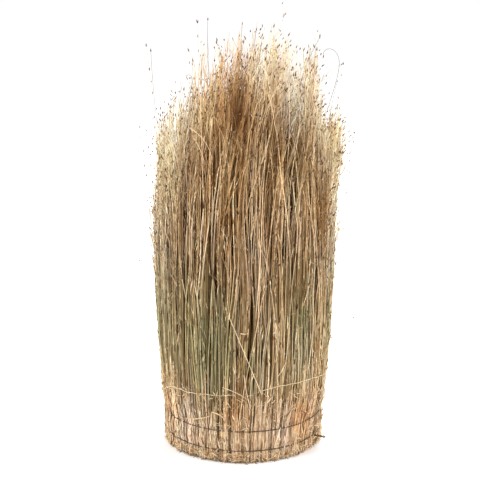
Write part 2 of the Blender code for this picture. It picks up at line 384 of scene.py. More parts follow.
def zoned(colour, angle, x, z, take):
    """Colours turned towards those of the zones and slabs that the points lie in."""
    for middle, spread, height, reach, tint, share in ZONES:
        away = (np.degrees(angle) - middle + 180) % 360 - 180
        part = share * bump(away, 0, spread) * bump(z, height, reach) * take
        colour = blend(colour, tint, np.clip(part, 0, 0.95))
    for middle, spread, height, reach, tint, share in SLABS:
        part = share * bump(x, middle, spread) * bump(z, height, reach) * take
        colour = blend(colour, tint, np.clip(part, 0, 0.95))
    tint = blend(np.array(LOWER_TINT), UPPER_TINT, smooth(0.33, 0.50, z))
    return colour * tint


def any_side(n):
    """A level direction for each strand, which an upright line never runs along."""
    turn = rng.uniform(0, 2 * math.pi, n)
    return np.stack([np.cos(turn), np.sin(turn), np.zeros(n)], -1)


def outward(points):
    """The level direction from the bunch's middle to each point."""
    level = points * np.array([1.0, 1.0, 0.0])
    level[..., 0] -= LEAN * points[..., 2]
    return unit(level + 1e-9)


def cells(n, rows):
    """The lower left corners of the map's cells, and a cell's size."""
    columns = math.ceil(n / rows)
    at = np.arange(n)
    corner = np.stack([(at % columns) / columns, (at // columns) / rows], -1)
    return corner, np.array([1 / columns, 1 / rows])


def build(name, points, corners, counts, rounded, uv, colours):
    """A mesh object from flat arrays, with a map and a tint for each point."""
    mesh = bpy.data.meshes.new(name)
    mesh.vertices.add(points.size // 3)
    mesh.vertices.foreach_set("co", points.ravel().astype(np.float32))
    mesh.loops.add(corners.size)
    mesh.loops.foreach_set("vertex_index", corners.ravel().astype(np.int32))
    mesh.polygons.add(len(counts))
    starts = np.concatenate([[0], np.cumsum(counts)[:-1]])
    mesh.polygons.foreach_set("loop_start", starts.astype(np.int32))
    mesh.polygons.foreach_set("use_smooth", rounded)
    mesh.update(calc_edges=True)
    layer = mesh.uv_layers.new(name="OFBake")
    layer.uv.foreach_set("vector", uv.ravel().astype(np.float32))
    tint_points(mesh, colours)
    piece = bpy.data.objects.new(name, mesh)
    bpy.context.scene.collection.objects.link(piece)
    return piece


def tint_points(mesh, colours):
    attribute = mesh.color_attributes.new("tint", "FLOAT_COLOR", "POINT")
    rgba = np.ones((len(mesh.vertices), 4), np.float32)
    rgba[:, :3] = np.clip(colours, 0.0, BRIGHTEST)
    attribute.data.foreach_set("color", rgba.ravel())


def strands(name, lines, radii, colours, sides, reference, rows=1, flat=1.0):
    """One mesh of closed strands.

    lines is (n, m, 3), radii (n, m) and colours (n, m, 3). reference is one direction for each
    strand that its line never runs along, and flat its thickness that way against its width.
    """
    n, m, _ = lines.shape
    tangent = unit(np.gradient(lines, axis=1))
    wide = unit(np.cross(tangent, reference[:, None, :]))
    thin = np.cross(tangent, wide) * flat
    turn = 2 * np.pi * np.arange(sides) / sides
    ring = wide[:, :, None] * np.cos(turn)[:, None] + thin[:, :, None] * np.sin(turn)[:, None]
    points = lines[:, :, None] + ring * radii[:, :, None, None]

    first = np.arange(n)[:, None, None] * m * sides
    step = np.arange(m - 1)[None, :, None] * sides
    low = first + step + np.arange(sides)
    low_next = first + step + (np.arange(sides) + 1) % sides
    walls = np.stack([low, low_next, low_next + sides, low + sides], -1).reshape(n, -1)
    bottom = first[:, 0] + np.arange(sides)[::-1]
    top = first[:, 0] + (m - 1) * sides + np.arange(sides)
    corners = np.concatenate([walls, bottom, top], 1)
    counts = np.tile([4] * (sides * (m - 1)) + [sides, sides], n)
    rounded = np.tile([True] * (sides * (m - 1)) + [False, False], n)

    corner, size = cells(n, rows)
    across = 0.1 + 0.8 * np.arange(sides + 1) / sides
    along = 0.03 + 0.94 * np.arange(m) / (m - 1)
    wall_uv = np.empty((n, m - 1, sides, 4, 2))
    for c, (right, up) in enumerate(((0, 0), (1, 0), (1, 1), (0, 1))):
        wall_uv[..., c, 0] = across[right : right + sides]
        wall_uv[..., c, 1] = along[up : up + m - 1][:, None]
    cap_uv = np.empty((n, 2, sides, 2))
    for c, height in enumerate((0.015, 0.985)):
        cap_uv[:, c, :, 0] = 0.5 + 0.35 * np.cos(turn)
        cap_uv[:, c, :, 1] = height + 0.01 * np.sin(turn)
    uv = np.concatenate([wall_uv.reshape(n, -1, 2), cap_uv.reshape(n, -1, 2)], 1)
    uv = corner[:, None] + uv * size
    return build(name, points, corners, counts, rounded, uv, np.repeat(colours.reshape(-1, 3), sides, 0))


def spindles(name, base, way, length, width, colours, rows):
    """One mesh of small four-sided seeds, pointed at both ends."""
    n, sides = len(base), 4
    one = unit(np.cross(way, any_side(n)))
    two = np.cross(way, one)
    turn = 2 * np.pi * np.arange(sides) / sides
    ring = one[:, None] * np.cos(turn)[:, None] + two[:, None] * np.sin(turn)[:, None]
    belly = base + way * column(length * 0.42)
    ring = belly[:, None] + ring * width[:, None, None]
    tip = base + way * column(length)
    points = np.concatenate([base[:, None], ring, tip[:, None]], 1)
    here = 1 + np.arange(sides)
    after = 1 + (np.arange(sides) + 1) % sides
    lower = np.stack([after, here, 0 * here], -1)
    upper = np.stack([here, after, 0 * here + sides + 1], -1)
    faces = np.concatenate([lower, upper]).ravel()
    corners = np.arange(n)[:, None] * (sides + 2) + faces
    counts = np.full(n * sides * 2, 3)
    at = np.arange(sides)
    lower_uv = np.stack([at + 1, at * 0 + 0.4, at, at * 0 + 0.4, at + 0.5, at * 0 + 0.04], -1)
    upper_uv = np.stack([at, at * 0 + 0.4, at + 1, at * 0 + 0.4, at + 0.5, at * 0 + 0.96], -1)
    uv = np.concatenate([lower_uv, upper_uv]).reshape(-1, 2)
    uv = uv * np.array([0.9 / sides, 1.0]) + np.array([0.05, 0.0])
    corner, size = cells(n, rows)
    uv = corner[:, None] + uv * size
    rounded = np.ones(len(counts), bool)
    return build(name, points, corners, counts, rounded, uv, np.repeat(colours, sides + 2, 0))


def dress(piece, material, slot, *nodes):
    """Gives a piece its material, its body and the nodes that it stands for."""
    piece.data.materials.append(material)
    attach(piece, "root")
    if nodes:
        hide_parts(*nodes)
    return piece


class Reeds:
    """A set of reeds, one row of numbers for each."""

    def __init__(self, angle, across, half, share, clump, pull):
        n = len(angle)
        self.n = n
        self.angle, self.across, self.half, self.share = angle, across, half, share
        self.pleated = (half > 0).astype(float)

        def shared(draw):
            """One draw for each clump, given to all its reeds."""
            return draw(clump.max() + 1)[clump]

        stray = rng.random(n) < 0.15
        self.drift = shared(lambda k: rng.normal(0, 0.020, k)) + rng.normal(0, 0.009, n)
        self.drift[stray] = rng.normal(0, 0.060, stray.sum())
        self.share = np.where(stray & (half > 0), 0.999, share)
        self.sway = shared(lambda k: rng.uniform(0.0010, 0.0048, k))
        self.sway_rate = shared(lambda k: rng.uniform(9, 24, k))
        self.sway_phase = shared(lambda k: rng.uniform(0, 2 * math.pi, k))
        self.wave = rng.uniform(0.0003, 0.0018, n)
        self.wave_rate = rng.uniform(22, 60, n)
        self.wave_phase = rng.uniform(0, 2 * math.pi, n)
        self.lift = shared(lambda k: rng.normal(-0.002, 0.009, k)) + rng.normal(0, 0.006, n)
        self.lift = np.minimum(self.lift, 0.008)
        self.bow = rng.uniform(0.0002, 0.0016, n)
        self.bow_rate = rng.uniform(18, 50, n)
        self.tip = shared(lambda k: rng.normal(0, 0.006, (k, 2))) + rng.normal(0, 0.004, (n, 2))
        place = self.share * knots(OUTER_RADIUS, 0.43) * np.cos(angle)
        self.tip[:, 0] += TIP_LEAN * smooth(-0.16, -0.05, place) * smooth(-0.10, 0.0, -place)
        self.pull = pull
        self.thick = rng.uniform(0.00078, 0.00118, n)
        self.foot = np.abs(rng.normal(0, 0.0028, n)) + 0.009 * (rng.random(n) < 0.20) * rng.random(n)
        self.top = np.full(n, 1.0)
        middle = self.path(np.full((n, 1), 0.5))[:, 0]
        line = knots(TOP_LINE, middle[:, 0])
        line = line - SHOULDER * (middle[:, 1] / knots(OUTER_RADIUS, 0.43)) ** 2
        short = shared(lambda k: 0.26 * rng.beta(1.0, 2.0, k)) + 0.26 * rng.beta(1.0, 1.9, n)
        cut = rng.random(n) < 0.10
        short[cut] += rng.uniform(0.05, 0.35, cut.sum())
        self.top = line * (TALLEST - short)
        self.top = np.maximum(self.top, 0.30)
        self.take = rng.uniform(0.55, 1.30, n)
        self.stray = stray.astype(float)
        self.pale = 0.92 * rng.beta(0.9, 1.1, n)
        self.rusty = (rng.random(n) < 0.10) * rng.uniform(0.3, 0.9, n)
        self.value = rng.uniform(0.70, 1.10, n) * shared(lambda k: rng.uniform(0.74, 1.22, k))
        self.brown = shared(lambda k: rng.beta(0.40, 0.80, k)) * np.where(stray, 0.2, 1.0)
        self.steps = rng.normal(1.0, 0.17, (n, 16))

    def pick(self, index):
        """The chosen rows, which may repeat."""
        chosen = copy.copy(self)
        for key, value in vars(self).items():
            if isinstance(value, np.ndarray):
                setattr(chosen, key, value[index])
        chosen.n = len(index)
        return chosen

    def path(self, z):
        """Points of the reeds at the heights z, which has one row for each reed."""
        free = smooth(0.07, 0.30, z)
        size = knots(OUTER_RADIUS, z)
        for middle, spread, height, reach, depth in DENTS:
            away = (np.degrees(column(self.angle)) - middle + 180) % 360 - 180
            size = size - depth * bump(away, 0, spread) * bump(z, height, reach)
        groove = knots(GROOVE, z) * column(np.abs(self.across) ** 2.2 * self.pleated)
        bow = column(self.bow) * np.sin(column(self.bow_rate) * z + column(self.wave_phase))
        radius = size * column(self.share) - groove + free * (z * column(self.lift) + bow)
        side = column(self.drift) * np.maximum(z - 0.07, 0)
        sway = column(self.sway) * np.sin(column(self.sway_rate) * z + column(self.sway_phase))
        wave = column(self.wave) * np.sin(column(self.wave_rate) * z + column(self.wave_phase))
        side = side + free * (sway + wave)
        angle = column(self.angle) + column(self.across * self.half) * knots(FILL, z) + side / size
        late = np.clip(1 - (column(self.top) - z) / TIP_LENGTH, 0, 1) ** 2
        pulled = smooth(0.10, 0.42, z)
        x = radius * np.cos(angle) + pulled * column(self.pull[:, 0]) + late * column(self.tip[:, 0])
        x = x + LEAN * z
        y = radius * np.sin(angle) + pulled * column(self.pull[:, 1]) + late * column(self.tip[:, 1])
        return np.stack([x, y, z], -1)

    def at(self, index, z):
        """Points and directions of chosen reeds at chosen heights."""
        step = 0.002
        chosen = self.pick(index)
        low = chosen.path(column(z) - step)[:, 0]
        high = chosen.path(column(z) + step)[:, 0]
        return (low + high) / 2, unit(high - low)

    def heights(self, foot_knots, upper):
        """Rows of heights: the same near the foot, then in even steps up to each reed's top."""
        low = np.tile(np.array(foot_knots), (self.n, 1))
        low[:, 0] = self.foot
        low[:, 1] = np.maximum(low[:, 1], self.foot + 0.002)
        start = foot_knots[-1]
        high = start + column(self.top - start) * np.arange(1, upper + 1) / upper
        return np.concatenate([low, high], 1)

    def depth(self):
        """How deep each reed lies under the skin: 1 from 9 mm down."""
        return np.clip((1 - self.share) * 0.145 / 0.009, 0, 1)

    def radius(self, z):
        return column(self.thick) * knots(THICKNESS, z / column(self.top))

    def colours(self, z):
        step = np.clip((z * 20 + column(self.wave_phase) / 6).astype(int), 0, 15)
        tone = np.take_along_axis(self.steps, step, 1)
        pale = np.clip(column(self.pale) + 1.2 * (tone - 1), 0, 1)
        colour = blend(np.array(TAN), STRAW, np.clip(pale * 2, 0, 1))
        colour = blend(colour, CREAM, np.clip(pale * 2 - 1, 0, 1))
        colour = blend(colour, RUST, column(self.rusty) + 0 * z)
        colour = blend(colour, PINKISH, 0.55 * (1 - smooth(0.06, 0.12, z)))
        high = smooth(0.34, 0.52, z)
        colour = blend(colour, CREAM, 0.60 * high * column(1 - self.brown))
        colour = blend(colour, RUST, 0.55 * high * column(self.brown))
        colour = blend(colour, PALE, 0.60 * smooth(0.26, 0.40, z) * column(self.stray))
        x, y, _ = np.moveaxis(self.path(z), -1, 0)
        colour = zoned(colour, np.arctan2(y, x - LEAN * z), x, z, column(self.take))
        # Painted light: from 0.28 m up the reeds are made brighter, up to 40% by 0.46 m, for the light that
        # falls on and through the upper bunch.
        colour = colour * (1 + 0.40 * smooth(0.28, 0.46, z))[..., None]
        # Painted shade: reeds that lie deep under the skin are turned towards the dark shade colours, except
        # near their own tops and at the foot, and much less at the left and right sides, where light shows
        # through.
        inside = smooth(0.0, 0.08, column(self.top) - z) * smooth(0.03, 0.10, z)
        rise = smooth(0.24, 0.44, z)
        sides = smooth(0.095, 0.135, np.abs(x - LEAN * z)) * smooth(0.32, 0.40, z)
        deep = column(self.depth()) * inside * (1 - 0.85 * sides)
        shade = blend(np.array(DEEP_SHADE_LOW), DEEP_SHADE_HIGH, rise)
        colour = blend(colour, shade, (0.72 + 0.20 * rise) * deep)
        return colour * (column(self.value) * tone)[..., None]


def outer_reeds(first, count):
    """The reeds of the outer handfuls, most of them near the skin."""
    per = REEDS_PER_HANDFUL
    n = per * count
    handful = np.repeat(np.arange(count), per)
    left, right = SEAMS[first + handful], SEAMS[first + handful + 1]
    half = (right - left) / 2
    across = 2 * (np.tile(np.arange(per), count) + rng.random(n)) / per - 1
    part = (across + 1) / 2 * CLUMPS_PER_HANDFUL + rng.normal(0, 0.12, n)
    part = np.clip(part, 0, CLUMPS_PER_HANDFUL - 0.01).astype(int)
    clump = handful * CLUMPS_PER_HANDFUL + part
    home = (part + 0.5) / CLUMPS_PER_HANDFUL * 2 - 1
    pinch = rng.uniform(0.25, 0.90, clump.max() + 1)[clump]
    angle = (left + right) / 2
    side = (home - across) * half * 0.15 * pinch
    pull = np.stack([-np.sin(angle) * side, np.cos(angle) * side], -1)
    share = 1 - (0.0010 + 0.0110 * rng.beta(1.0, 1.4, n)) / 0.145
    return Reeds(angle, across, half, share, clump, pull)


def inner_reeds(n, low, high):
    """Reeds spread evenly over a ring of the bunch's section, gathered in clumps higher up."""
    at = np.arange(n) + 0.5
    share = np.sqrt(low**2 + (high**2 - low**2) * at / n)
    angle = (at * math.pi * (3 - math.sqrt(5)) + rng.normal(0, 0.02, n)) % (2 * math.pi)
    place = share[:, None] * np.stack([np.cos(angle), np.sin(angle)], -1)
    middles = place[rng.permutation(n)[: n // 14]]
    clump = np.argmin(((place[:, None] - middles[None]) ** 2).sum(-1), 1)
    pull = (middles[clump] - place) * 0.15 * rng.uniform(0.1, 0.6, n // 14)[clump][:, None]
    none = np.zeros(n)
    return Reeds(angle, none, none, share, clump, pull)


def reed_strands(name, reeds, foot_knots, upper, sides):
    z = reeds.heights(foot_knots, upper)
    return strands(name, reeds.path(z), reeds.radius(z), reeds.colours(z), sides, any_side(reeds.n))


def sprigs(reeds, index, z, tilt, length, curl, shares, away, sign=1.0):
    """Lines that leave chosen reeds: a turn of the tangent tilt off the reed, then a curl."""
    n = len(index)
    start, way = reeds.at(index, z)
    way = way * sign
    side = unit(np.cross(way, any_side(n)) + 1e-6)
    side = unit(side * (1 - away) + outward(start) * away)
    way = unit(way + side * column(tilt))
    bend = unit(np.cross(way, any_side(n))) * column(curl * length)
    shares = np.array(shares)[None, :, None]
    line = start[:, None] + way[:, None] * length[:, None, None] * shares + bend[:, None] * shares**2
    line[..., 2] = np.clip(line[..., 2], 0.0006, HIGHEST)
    return line


def twigs(name, reeds, per, material):
    """The thin branches of the seed heads. Returns their ends and directions."""
    n = reeds.n * per
    index = np.repeat(np.arange(reeds.n), per)
    rank = np.tile(np.arange(per), reeds.n)
    share = 1 - 0.23 * rng.beta(1.0, 1.5, n) * (rank > 0)
    length = np.where(rank == 0, rng.uniform(0.010, 0.030, n), rng.uniform(0.014, 0.052, n))
    line = sprigs(
        reeds, index, reeds.top[index] * share, 0.02 + 0.38 * rng.beta(1.0, 2.5, n), length,
        rng.uniform(0, 0.50, n), (0.0, 0.5, 1.0), 0.08,
    )
    radius = column(rng.uniform(0.00026, 0.00054, n)) * np.array([1.0, 0.8, 0.40])
    begin = line[:, 0]
    level = knots(TOP_LINE, begin[:, 0]) - SHOULDER * (begin[:, 1] / OUTER_RADIUS[-1][1]) ** 2
    # Painted shade: twigs that start deep in the bunch, well under the top line, are darkened.
    sunk_shade = smooth(0.03, 0.13, level - begin[:, 2]) * reeds.depth()[index]
    pale = rng.beta(1.8, 0.5, n) * (1 - 0.70 * reeds.brown[index])
    pale = column(pale) + np.zeros((1, 3))
    colour = blend(np.array(RUST), TAN, np.clip(pale * 3.5, 0, 1))
    colour = blend(colour, CREAM, np.clip(pale * 2 - 0.5, 0, 1))
    colour = blend(colour, PALE, np.clip(pale * 3 - 2, 0, 1))
    angle = column(np.arctan2(line[:, 0, 1], line[:, 0, 0]))
    colour = zoned(colour, angle, line[..., 0], line[..., 2], column(reeds.take[index]))
    # Painted light: the twigs are made brighter by a random 8 to 60%, for the light that falls on and through
    # the seed heads.
    colour = colour * column(rng.uniform(1.08, 1.60, n) * reeds.value[index])[..., None]
    colour = blend(colour, SHADE_BROWN, column(0.80 * sunk_shade) + np.zeros((1, 3)))
    colour = blend(colour, ASH, 0.50 * smooth(-0.02, 0.03, line[..., 2] - column(level)))
    piece = strands(name, line, radius, colour, 3, any_side(n), rows=24)
    dress(piece, material, "reed_straw")
    return line[:, 2], unit(line[:, 2] - line[:, 1])


def spikelets(name, ends, ways, share, reeds, extra, material):
    """Small brown seeds at some of the twigs' ends, and some that sit along the reeds."""
    chosen = rng.random(len(ends)) < share
    base, way = ends[chosen], ways[chosen]
    index = rng.integers(0, reeds.n, extra)
    z = reeds.top[index] * (1 - 0.45 * rng.beta(1.0, 1.6, extra))
    spot, direction = reeds.at(index, z)
    spot = spot + outward(spot) * column(reeds.thick[index])
    base, way = np.concatenate([base, spot]), np.concatenate([way, direction])
    n = len(base)
    way = unit(way + unit(np.cross(way, any_side(n))) * column(rng.uniform(0.0, 0.40, n)))
    way = unit(way + np.array([SEED_LEAN, 0.0, 0.0]))
    length = rng.uniform(0.0042, 0.0090, n)
    width = rng.uniform(0.00065, 0.00130, n)
    colour = blend(np.array(CHESTNUT), RUST, rng.random(n) ** 1.6)
    colour = blend(colour, STRAW, (rng.random(n) < 0.22) * rng.uniform(0.2, 0.8, n))
    return dress(spindles(name, base, way, length, width, colour, 32), material, "reed_ochre")


def sheaths(name, reeds, per, scraps, material):
    """Papery sheaths at the reeds' joints, and scraps of them that cling to the skin."""
    index = np.repeat(np.arange(reeds.n), per)
    n = len(index)
    z = 0.06 + (reeds.top[index] * 0.95 - 0.06) * (np.tile(np.arange(per), reeds.n) + rng.random(n)) / per
    loose = rng.integers(0, reeds.n, scraps)
    loose = loose[reeds.share[loose] > 0.970]
    index = np.concatenate([index, loose])
    z = np.concatenate([z, 0.02 + 0.55 * rng.random(len(loose)) ** 1.3])
    is_scrap = np.arange(len(index)) >= n
    n = len(index)
    z = np.minimum(z, reeds.top[index] * 0.97)
    tilt = np.where(is_scrap, np.abs(rng.normal(0, 0.22, n)), rng.uniform(0.0, 0.10, n))
    length = np.where(is_scrap, rng.uniform(0.006, 0.026, n), rng.uniform(0.006, 0.018, n))
    tilt = tilt * np.where(z > 0.42, 0.5, 1.0)
    sign = np.where(is_scrap & (rng.random(n) < 0.4), -1.0, 1.0)[:, None]
    line = sprigs(reeds, index, z, tilt, length, 0.15 * rng.random(n), (0.0, 0.4, 1.0), 0.55, sign)
    size = reeds.thick[index] * knots(THICKNESS, z / reeds.top[index])
    size = np.where(is_scrap, rng.uniform(0.0004, 0.0011, n), size * 1.35)
    radius = column(size) * np.array([0.85, 1.0, 0.18])
    pale = np.where(is_scrap, rng.beta(1.6, 0.9, n), 0.9 * rng.random(n) ** 2)
    colour = blend(np.array(CHESTNUT), RUST, np.clip(column(pale) * 3, 0, 1) + np.zeros((1, 3)))
    colour = blend(colour, STRAW, np.clip(column(pale) * 2 - 0.6, 0, 1) + np.zeros((1, 3)))
    bleached = np.clip(pale * 2 - 1.1, 0, 1) * np.where(z > 0.4, 0.4, 1.0)
    colour = blend(colour, CREAM, column(bleached) + np.zeros((1, 3)))
    reference = outward(line[:, 0])
    return dress(strands(name, line, radius, colour, 4, reference, 16, 0.75), material, "reed_ochre")


def flecks(name, reeds, n, material):
    """Small flakes of husk and straw on the outermost reeds."""
    index = rng.choice(np.flatnonzero(reeds.share > 0.972), n)
    z = np.minimum(0.01 + 0.57 * rng.random(n), reeds.top[index] * 0.97)
    z = np.where(rng.random(n) < 0.5, reeds.top[index] * (1 - 0.40 * rng.random(n)), z)
    base, way = reeds.at(index, z)
    base = base + outward(base) * column(reeds.thick[index] * knots(THICKNESS, z / reeds.top[index]) * 0.9)
    way = unit(way + unit(np.cross(way, any_side(n))) * column(np.abs(rng.normal(0, 0.30, n))))
    pale = rng.beta(0.7, 0.8, n)
    colour = dry_tones(pale) * column(rng.uniform(0.7, 1.1, n))
    colour = blend(colour, RUSSET, (rng.random(n) < 0.22) * rng.uniform(0.4, 1.0, n))
    angle = np.arctan2(base[:, 1], base[:, 0])
    colour = zoned(colour, angle, base[:, 0], z, 0.5 * reeds.take[index])
    length, width = rng.uniform(0.003, 0.012, n), rng.uniform(0.00035, 0.00095, n)
    return dress(spindles(name, base, way, length, width, colour, 24), material, "reed_ochre")


def together(sets):
    """Several sets of reeds as one."""
    whole = copy.copy(sets[0])
    for key, value in vars(whole).items():
        if isinstance(value, np.ndarray):
            setattr(whole, key, np.concatenate([getattr(one, key) for one in sets]))
    whole.n = sum(one.n for one in sets)
    return whole


def dry_tones(pale):
    """Colours from brown through straw to pale cream, for paleness from 0 to 1."""
    colour = blend(np.array(RUST), TAN, np.clip(pale * 4, 0, 1))
    colour = blend(colour, STRAW, np.clip(pale * 4 - 1, 0, 1))
    colour = blend(colour, PINKISH, np.clip(pale * 4 - 2, 0, 1))
    return blend(colour, CREAM, np.clip(pale * 4 - 3, 0, 1))


def leaf_bases(reeds, n, material):
    """Flat strips of old leaf that hug the reeds about the wires."""
    index = rng.choice(np.flatnonzero(reeds.share > 0.985), n)
    chosen = reeds.pick(index)
    start = rng.uniform(0.0, 0.075, n) * (rng.random(n) < 0.75) + 0.001
    length = rng.uniform(0.016, 0.052, n)
    shares = np.array([0.0, 0.25, 0.5, 0.75, 1.0])
    z = column(start) + column(length) * shares
    line = chosen.path(z)
    lift = column(rng.uniform(0.0003, 0.0010, n)) + column(rng.uniform(0, 0.004, n)) * shares**3
    out = outward(line)
    aside = np.stack([-out[..., 1], out[..., 0], 0 * out[..., 2]], -1)
    slant = column(rng.normal(0, 0.0030, n)) * (shares - 0.3)
    line = line + out * lift[..., None] + aside * slant[..., None]
    radius = column(rng.uniform(0.0012, 0.0025, n)) * np.array([0.8, 1.0, 0.95, 0.7, 0.15])
    pale = rng.beta(2.2, 1.1, n)
    colour = dry_tones(column(pale) + 0 * z) * column(rng.uniform(0.75, 1.1, n))[..., None]
    colour = zoned(colour, np.arctan2(line[..., 1], line[..., 0]), line[..., 0], z, column(chosen.take))
    piece = strands("leaf_bases", line, radius, colour, 4, outward(line[:, 0]), 8, 0.22)
    return dress(piece, material, "reed_ochre")


def held_in(line, room):
    """Lines whose points stand off the skin by no more than room."""
    middle = LEAN * line[..., 2]
    far = np.hypot(line[..., 0] - middle, line[..., 1])
    part = np.minimum(1.0, (knots(OUTER_RADIUS, line[..., 2]) + room) / far)
    line = line.copy()
    line[..., 0] = middle + (line[..., 0] - middle) * part
    line[..., 1] = line[..., 1] * part
    return line


def foot_fibres(reeds, n, material):
    """Short curly fibres about the cut ends and the wires."""
    index = rng.choice(np.flatnonzero(reeds.share > 0.988), n)
    low = rng.random(n) < 0.66
    z = np.where(low, rng.uniform(0.001, 0.017, n), rng.uniform(0.026, 0.12, n))
    z = np.where(np.abs(z - UPPER_WIRE_HEIGHT) < 0.004, z + 0.008, z)
    sign = np.where(rng.random(n) < 0.5, -1.0, 1.0)[:, None]
    line = sprigs(
        reeds, index, z, rng.uniform(0.1, 1.4, n) + 1.6 * low * rng.random(n),
        rng.uniform(0.004, 0.012, n), rng.uniform(0.3, 1.8, n), (0.0, 0.35, 0.7, 1.0), 0.06, sign,
    )
    line = line + outward(line) * column(rng.uniform(0.0, 0.0018, n))[..., None]
    front = bump(np.degrees(reeds.angle[index]), 252, 24)
    line = held_in(line, column(0.0008 + (0.0070 + 0.0070 * front) * rng.beta(1.0, 3.0, n)))
    radius = column(rng.uniform(0.00025, 0.00110, n)) * np.array([1.0, 1.0, 0.8, 0.3])
    pale = rng.beta(1.2, 0.6, n)
    colour = dry_tones(column(pale) + np.zeros((1, 4))) * column(rng.uniform(0.75, 1.15, n))[..., None]
    # Painted shadow: at the front, the fibres' lowest ends are darkened where the bunch meets the floor.
    contact_shadow = column(0.75 * front) * (1 - smooth(0.001, 0.006, line[..., 2]))
    colour = blend(colour, SHADOW_AND_HAIR_GREY, contact_shadow)
    piece = strands("foot_fibres", line, radius, colour, 3, any_side(n), 24)
    return dress(piece, material, "reed_ochre")


def edge_fuzz(reeds, n, material):
    """Fine short hairs and splinters that stand off the skin."""
    index = rng.choice(np.flatnonzero(reeds.share > 0.980), n)
    z = np.minimum(0.03 + 0.57 * rng.random(n) ** 1.1, reeds.top[index] * 0.98)
    sign = np.where(rng.random(n) < 0.3, -1.0, 1.0)[:, None]
    line = sprigs(
        reeds, index, z, rng.uniform(0.15, 1.1, n), rng.uniform(0.004, 0.017, n),
        rng.uniform(0.0, 0.6, n), (0.0, 0.5, 1.0), 0.75, sign,
    )
    radius = column(rng.uniform(0.00016, 0.00042, n)) * np.array([1.0, 0.8, 0.4])
    colour = dry_tones(column(rng.beta(0.8, 1.0, n)) + np.zeros((1, 3)))
    return dress(strands("edge_fuzz", line, radius, colour, 3, any_side(n), 24), material, "reed_ochre")


def curve(points, count):
    """A smooth line of count points that starts and ends with the given ones."""
    points = np.array(points, float)
    far = np.concatenate([[0], np.cumsum(np.linalg.norm(np.diff(points, axis=0), axis=1))])
    at = np.linspace(0, far[-1], count)
    line = np.stack([np.interp(at, far, axis) for axis in points.T], -1)
    for _ in range(max(2, count // len(points) // 2)):
        line[1:-1] = (line[:-2] + 2 * line[1:-1] + line[2:]) / 4
    return line


def on_route(angle):
    """Points of the pale strand's route at angles in radians."""
    route_angle, route_height = np.array(STRAND_ROUTE).T
    z = np.interp(angle, np.radians(route_angle), route_height)
    radius = knots(OUTER_RADIUS, z) + knots(STRAND_LIFT, np.degrees(angle))
    return np.stack([radius * np.cos(angle) + LEAN * z, radius * np.sin(angle), z], -1)


def pale_strand(material):
    """Two twisted plies that lie across the front, frayed here and there."""
    count, turns, ply = 100, 30, 0.00034
    first, last = math.radians(STRAND_ROUTE[0][0]), math.radians(STRAND_ROUTE[-1][0])
    main = curve(on_route(np.linspace(first, last, count)), count)
    out = outward(main)
    turn = np.linspace(0, turns * 2 * math.pi, count)
    main[:, 2] += 0.0006 * np.sin(turn * 0.21) + 0.0004 * np.sin(turn * 0.57)
    lines = []
    for side in (0.0, math.pi):
        offset = out * column(np.cos(turn + side)) + np.array([0, 0, 1.0]) * column(np.sin(turn + side))
        lines.append(main + offset * ply)
    for degrees in STRAND_FRAYS:
        start = on_route(np.array(math.radians(degrees)))
        reach = rng.uniform(0.008, 0.020)
        turned = math.radians(degrees)
        along = rng.choice((-1, 1)) * np.array([-math.sin(turned), math.cos(turned), 0])
        middle = start + along * reach * 0.5 + np.array([0, 0, rng.uniform(-0.3, 0.5) * reach])
        end = start + along * reach * rng.uniform(0.4, 0.9) + np.array([0, 0, rng.uniform(-0.7, 0.7) * reach])
        end = end + outward(end) * 0.002
        lines.append(curve((start, middle, end), count))
    lines = np.array(lines)
    thick = np.full((len(lines), count), ply)
    thick[2:] *= np.linspace(0.9, 0.5, count)
    colour = np.full((len(lines), count, 3), CREAM) * rng.uniform(0.85, 1.05, (len(lines), count, 1))
    piece = strands("pale_strand", lines, thick, colour, 4, outward(lines[:, 0]) + 0.01)
    return dress(piece, material, "dry_grass", "pale_grass_strand")


def loose_reed(number, seam, leave, tip, stem_material, seed_material):
    """A thin reed that stands in a groove, bends away and ends in a few spikelets."""
    low = np.array([0.002, 0.021, 0.038, 0.055, 0.09, 0.16, leave])
    radius = knots(OUTER_RADIUS, low) - LOOSE_SINK
    angle = SEAMS[seam]
    foot = np.stack([radius * np.cos(angle) + LEAN * low, radius * np.sin(angle), low], -1)
    share = np.linspace(0, 1, 9)[1:]
    end = np.array(tip)
    free = foot[-1] + (end - foot[-1]) * column(share)
    bend = (end - foot[-1]) * np.array([1.0, 1.0, 0.0]) * LATE_BEND
    free = free + bend * column(share**2 - share)
    line = curve(np.concatenate([foot, free]), 34)
    thick = np.interp(np.linspace(0, 1, 34), (0, 0.4, 0.9, 1), (0.0010, 0.0006, 0.00028, 0.00016))
    colour = dry_tones(np.full((1, 34), rng.uniform(0.6, 0.95)))
    piece = strands(f"loose_stem_{number}", line[None], thick[None], colour, 5, any_side(1))
    dress(piece, stem_material, "reed_straw", f"loose_reed_{number}")

    seeds = 7
    at = 33 - rng.integers(0, 7, seeds)
    at[0] = 33
    way = unit(np.gradient(line, axis=0))[at]
    way = unit(way + unit(np.cross(way, any_side(seeds))) * column(rng.uniform(0.05, 0.5, seeds)))
    dark = blend(np.array(CHESTNUT), RUST, rng.random(seeds))
    piece = spindles(
        f"loose_head_{number}", line[at], way, rng.uniform(0.004, 0.008, seeds),
        rng.uniform(0.0007, 0.0011, seeds), dark, 1,
    )
    return dress(piece, seed_material, "reed_ochre")


def arc(lead, turn, late, length, count):
    """Sideways and upright steps of a line whose direction turns from lead, in degrees."""
    share = np.linspace(0, 1, count)
    heading = np.radians(lead + turn * share**late)
    step = length / (count - 1)
    sideways = np.concatenate([[0], np.cumsum(np.sin(heading[:-1]) * step)])
    upright = np.concatenate([[0], np.cumsum(np.cos(heading[:-1]) * step)])
    return sideways, upright


